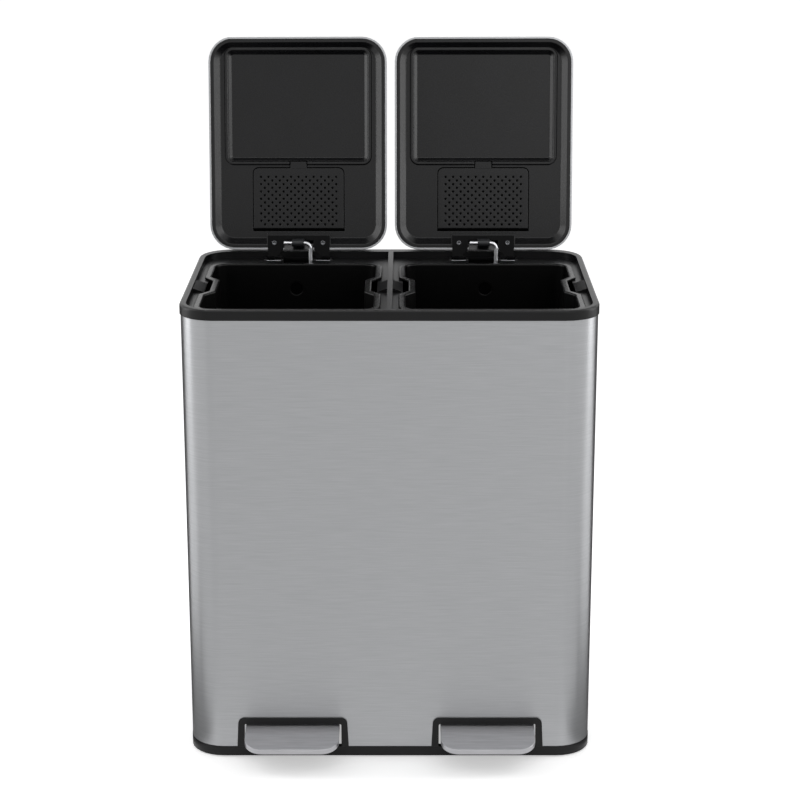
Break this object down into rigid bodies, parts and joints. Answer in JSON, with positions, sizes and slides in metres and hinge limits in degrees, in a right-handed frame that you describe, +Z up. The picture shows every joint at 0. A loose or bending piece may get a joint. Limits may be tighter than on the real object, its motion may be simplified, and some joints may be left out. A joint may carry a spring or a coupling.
{
  "type": "double pedal recycling bin",
  "caption": "Free-standing steel recycling bin with twin lift-out buckets, twin hinged lids that lean open and pedals that work them.",
  "frame": {"origin": "on the floor under the middle of the overall box, with the lids open and the pedals up", "axes": "+Z up, +X to the right of someone facing the front, +Y to the rear"},
  "size_m": [0.4924, 0.4192, 0.8361],
  "materials": {
    "cabinet_steel": "horizontally brushed stainless steel",
    "lid_steel": "brushed stainless steel",
    "pedal_steel": "brushed stainless steel with rounded edges",
    "zinc_steel": "bright zinc-plated steel",
    "bracket_steel": "black-grey powder coat",
    "black_moulding": "satin black moulded plastic",
    "surround_moulding": "satin black moulded plastic",
    "bucket_moulding": "fine-textured black moulded plastic",
    "grey_moulding": "grey moulded plastic",
    "foot_rubber": "matt black rubber",
    "carbon_foam": "open black foam"
  },
  "bodies": {
    "cabinet": {"outer_shell": "cabinet_steel", "top_collar": "black_moulding", "base_moulding": "black_moulding", "foot_front_left": "foot_rubber", "foot_rear_left": "foot_rubber", "foot_front_right": "foot_rubber", "foot_rear_right": "foot_rubber", "pedal_surround_left": "surround_moulding", "pedal_surround_right": "surround_moulding", "pedal_pivot_pin_left": "zinc_steel", "pedal_pivot_pin_right": "zinc_steel", "hinge_pin_left_outer": "zinc_steel", "hinge_pin_left_inner": "zinc_steel", "hinge_pin_right_outer": "zinc_steel", "hinge_pin_right_inner": "zinc_steel"},
    "bucket_left": {"bucket_left": "bucket_moulding"},
    "bucket_right": {"bucket_right": "bucket_moulding"},
    "lid_left": {"lid_skin_left": "lid_steel", "lid_liner_left": "black_moulding", "carbon_filter_left": "carbon_foam", "hinge_bracket_left": "bracket_steel", "bracket_screw_left_outer": "zinc_steel", "bracket_screw_left_inner": "zinc_steel", "rod_clip_left": "grey_moulding"},
    "lid_right": {"lid_skin_right": "lid_steel", "lid_liner_right": "black_moulding", "carbon_filter_right": "carbon_foam", "hinge_bracket_right": "bracket_steel", "bracket_screw_right_outer": "zinc_steel", "bracket_screw_right_inner": "zinc_steel", "rod_clip_right": "grey_moulding"},
    "filter_cover_left": {"filter_cover_left": "black_moulding"},
    "filter_cover_right": {"filter_cover_right": "black_moulding"},
    "rod_left": {"link_rod_left": "zinc_steel", "rod_stop_left": "grey_moulding"},
    "rod_right": {"link_rod_right": "zinc_steel", "rod_stop_right": "grey_moulding"},
    "pedal_left": {"pedal_cap_left": "pedal_steel", "pedal_core_left": "surround_moulding", "pedal_lever_left": "zinc_steel"},
    "pedal_right": {"pedal_cap_right": "pedal_steel", "pedal_core_right": "surround_moulding", "pedal_lever_right": "zinc_steel"}
  },
  "joints": [
    {"name": "lid_left_hinge", "type": "hinge", "parent": "cabinet", "child": "lid_left", "pos_m": [-0.1195, 0.1407, 0.552], "axis": [-1, 0, 0], "range_deg": [-98, 0]},
    {"name": "lid_right_hinge", "type": "hinge", "parent": "cabinet", "child": "lid_right", "pos_m": [0.1195, 0.1407, 0.552], "axis": [-1, 0, 0], "range_deg": [-98, 0]},
    {"name": "pedal_left_pivot", "type": "hinge", "parent": "cabinet", "child": "pedal_left", "pos_m": [-0.1185, -0.1033, 0.0345], "axis": [1, 0, 0], "range_deg": [0, 9]},
    {"name": "pedal_right_pivot", "type": "hinge", "parent": "cabinet", "child": "pedal_right", "pos_m": [0.1185, -0.1033, 0.0345], "axis": [1, 0, 0], "range_deg": [0, 9]},
    {"name": "bucket_left_lift", "type": "slide", "parent": "cabinet", "child": "bucket_left", "axis": [0, 0, 1], "range_m": [0, 0.52]},
    {"name": "bucket_right_lift", "type": "slide", "parent": "cabinet", "child": "bucket_right", "axis": [0, 0, 1], "range_m": [0, 0.52]},
    {"name": "filter_cover_left_hinge", "type": "hinge", "parent": "lid_left", "child": "filter_cover_left", "pos_m": [-0.1195, 0.1613, 0.59152], "axis": [-1, 0, 0], "range_deg": [-55, 0]},
    {"name": "filter_cover_right_hinge", "type": "hinge", "parent": "lid_right", "child": "filter_cover_right", "pos_m": [0.1195, 0.1613, 0.59152], "axis": [-1, 0, 0], "range_deg": [-55, 0]},
    {"name": "rod_left_pivot", "type": "hinge", "parent": "lid_left", "child": "rod_left", "pos_m": [-0.1195, 0.1323, 0.57843], "axis": [-1, 0, 0], "range_deg": [0, 98]},
    {"name": "rod_right_pivot", "type": "hinge", "parent": "lid_right", "child": "rod_right", "pos_m": [0.1195, 0.1323, 0.57843], "axis": [-1, 0, 0], "range_deg": [0, 98]}
  ],
  "couplings": [
    {"joint": "rod_left_pivot", "follows": "lid_left_hinge", "ratio": -1},
    {"joint": "rod_right_pivot", "follows": "lid_right_hinge", "ratio": -1}
  ]
}
